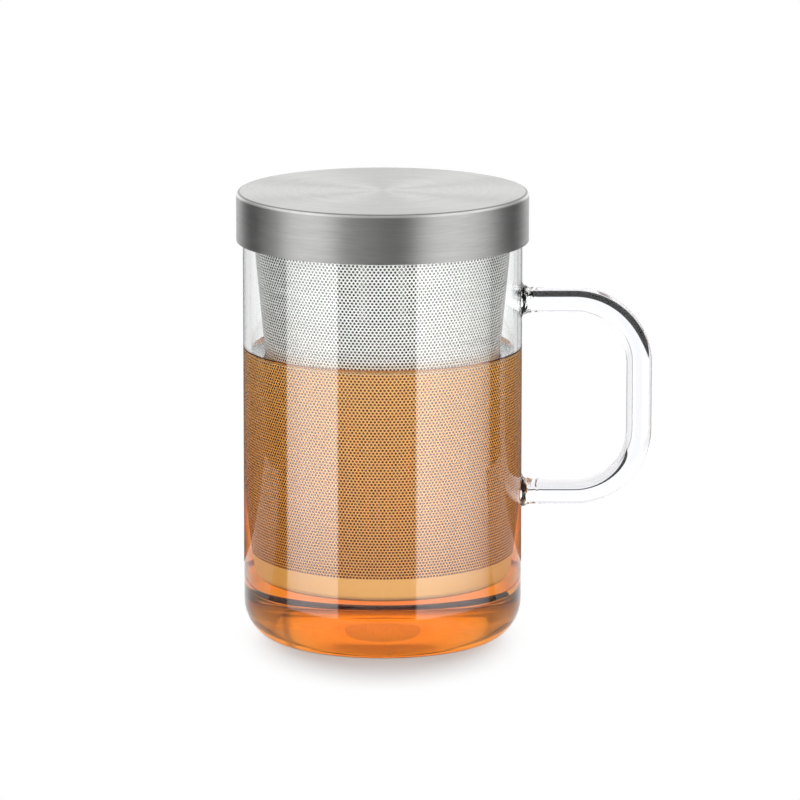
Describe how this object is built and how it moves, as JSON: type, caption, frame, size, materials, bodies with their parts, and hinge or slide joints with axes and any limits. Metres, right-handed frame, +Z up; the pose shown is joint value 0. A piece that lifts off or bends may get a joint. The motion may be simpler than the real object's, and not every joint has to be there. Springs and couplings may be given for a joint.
{
  "type": "lidded tea mug with infuser",
  "caption": "Clear glass tea mug with a bent glass rod handle, a perforated steel infuser basket hanging on the lip and a brushed steel lift-off lid.",
  "frame": {"origin": "centre of the mug's base on the table", "axes": "+Z up along the axis of the mug, +X towards the handle, -Y towards the viewer"},
  "size_m": [0.1252, 0.088, 0.1365],
  "materials": {
    "glass": "clear polished borosilicate glass",
    "infuser_steel": "satin stainless sheet",
    "lid_steel": "fine brushed stainless, turned lines on the top and horizontal lines on the side",
    "liner_steel": "plain pressed stainless"
  },
  "bodies": {
    "mug": {"mug_body": "glass", "handle": "glass"},
    "infuser": {"infuser_wall": "infuser_steel", "infuser_pan": "infuser_steel", "infuser_collar": "infuser_steel"},
    "lid": {"lid_cap": "lid_steel", "lid_liner": "liner_steel"}
  },
  "joints": [
    {"name": "infuser_lift", "type": "slide", "parent": "mug", "child": "infuser", "axis": [0, 0, 1], "range_m": [0, 0.13]},
    {"name": "lid_lift", "type": "slide", "parent": "infuser", "child": "lid", "axis": [0, 0, 1], "range_m": [0, 0.05]}
  ]
}
